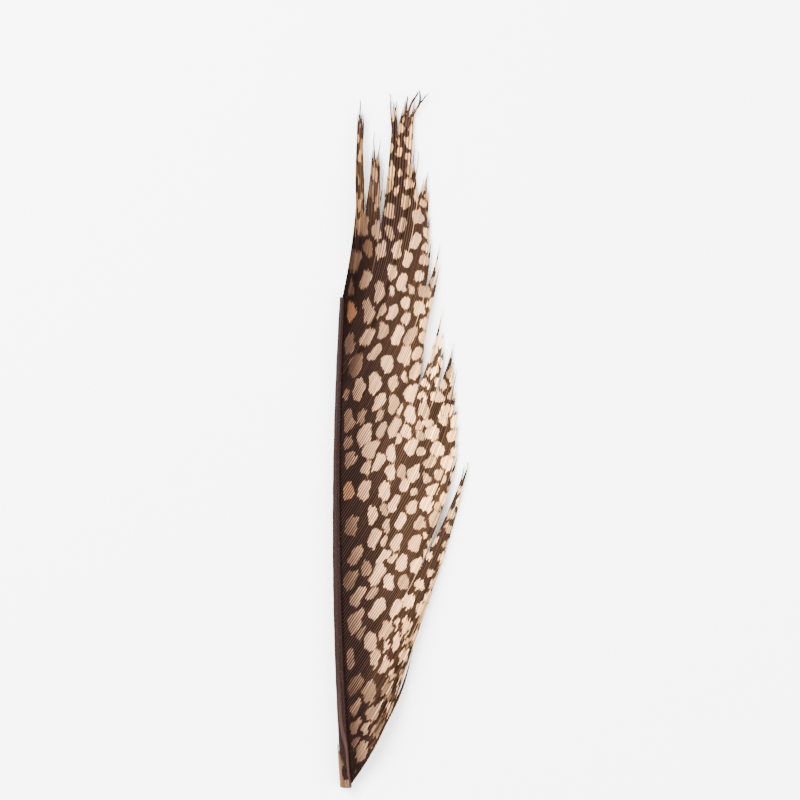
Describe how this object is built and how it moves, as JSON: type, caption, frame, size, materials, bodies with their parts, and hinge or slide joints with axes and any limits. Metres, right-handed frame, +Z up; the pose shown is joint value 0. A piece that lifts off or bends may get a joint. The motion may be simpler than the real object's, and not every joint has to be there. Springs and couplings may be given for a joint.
{
  "type": "pheasant tail feather",
  "caption": "Section of a golden pheasant's central tail feather lying on its side, with a dark shaft along one edge and spotted, long-barbed vanes folded together.",
  "frame": {"origin": "under the middle of the feather's outline, on the surface that it lies on", "axes": "+Y along the shaft from its cut lower end to the vanes' tips, +X from the shaft towards the vanes' free edge, +Z up from the surface"},
  "size_m": [0.027, 0.1378, 0.0045],
  "materials": {
    "quill": "satin",
    "vane": "matte"
  },
  "bodies": {
    "root": {"shaft": "quill", "upper_vane": "vane", "lower_vane": "vane"}
  },
  "joints": []
}
